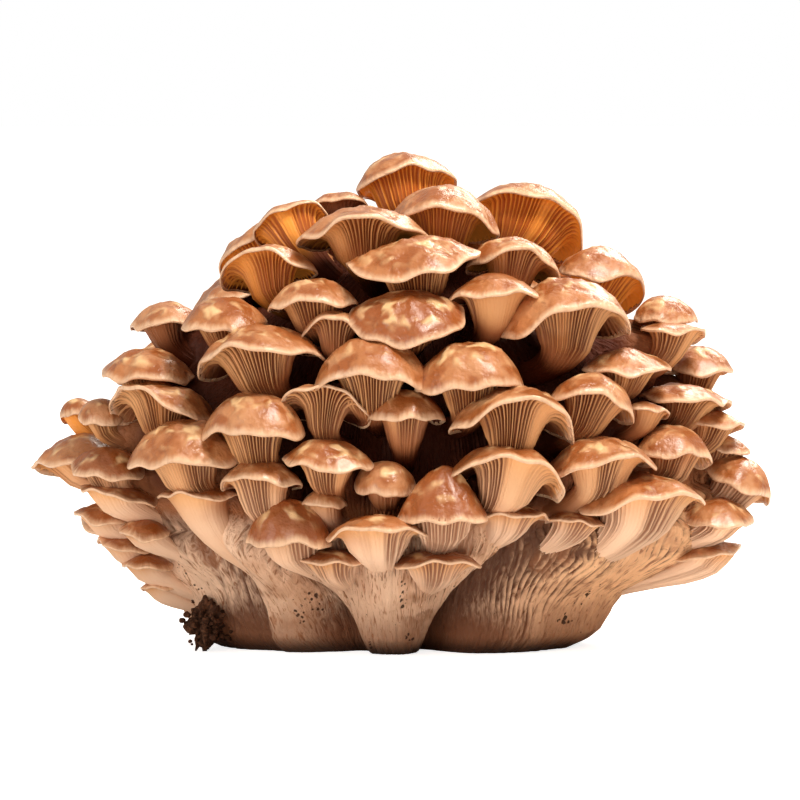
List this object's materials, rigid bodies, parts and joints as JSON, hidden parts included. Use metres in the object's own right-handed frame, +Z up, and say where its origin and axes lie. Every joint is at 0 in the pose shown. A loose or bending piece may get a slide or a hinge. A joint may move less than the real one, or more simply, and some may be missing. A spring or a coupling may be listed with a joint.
{
  "type": "clustered gilled mushroom",
  "caption": "Dense fan-shaped cluster of brown gilled mushrooms grown together on a pale fused base, cut off flat, with a little soil at its foot.",
  "frame": {"origin": "on the ground, under the middle of the cluster's bounding box", "axes": "+X to the right across the widest side, +Y to the back, +Z up; the pictured side faces -Y"},
  "size_m": [0.3617, 0.2385, 0.243],
  "materials": {
    "cap_skin": "damp satin, orange brown with cream blotches",
    "stem_flesh": "matt, fibrous, pale cream",
    "soil": "rough, crumbly"
  },
  "bodies": {
    "root": {"cap_arched": "cap_skin", "cap_back_1": "cap_skin", "cap_back_10": "cap_skin", "cap_back_11": "cap_skin", "cap_back_12": "cap_skin", "cap_back_13": "cap_skin", "cap_back_14": "cap_skin", "cap_back_15": "cap_skin", "cap_back_2": "cap_skin", "cap_back_3": "cap_skin", "cap_back_4": "cap_skin", "cap_back_5": "cap_skin", "cap_back_6": "cap_skin", "cap_back_7": "cap_skin", "cap_back_8": "cap_skin", "cap_back_9": "cap_skin", "cap_bell": "cap_skin", "cap_broad_left": "cap_skin", "cap_broad_right": "cap_skin", "cap_brow": "cap_skin", "cap_brow_right": "cap_skin", "cap_far_left": "cap_skin", "cap_far_left_high": "cap_skin", "cap_far_left_low": "cap_skin", "cap_far_right": "cap_skin", "cap_far_right_high": "cap_skin", "cap_front_brim": "cap_skin", "cap_left_broad_low": "cap_skin", "cap_left_foot": "cap_skin", "cap_left_gilled": "cap_skin", "cap_left_high": "cap_skin", "cap_left_open": "cap_skin", "cap_left_round": "cap_skin", "cap_left_side": "cap_skin", "cap_low_middle": "cap_skin", "cap_low_right": "cap_skin", "cap_middle": "cap_skin", "cap_middle_right": "cap_skin", "cap_right_broad_low": "cap_skin", "cap_right_low_brim": "cap_skin", "cap_right_side": "cap_skin", "cap_right_twin": "cap_skin", "cap_shoulder_left": "cap_skin", "cap_shoulder_right": "cap_skin", "cap_top": "cap_skin", "cap_top_front": "cap_skin", "cap_top_left": "cap_skin", "cap_top_right": "cap_skin", "cap_top_wavy": "cap_skin", "cap_trumpet": "cap_skin", "cap_upper_left": "cap_skin", "cap_upper_middle": "cap_skin", "cap_upper_right": "cap_skin", "cap_wavy_right": "cap_skin", "soil_clump": "soil", "stem_back_left": "stem_flesh", "stem_back_right": "stem_flesh", "stem_left": "stem_flesh", "stem_middle": "stem_flesh", "stem_right": "stem_flesh"}
  },
  "joints": []
}
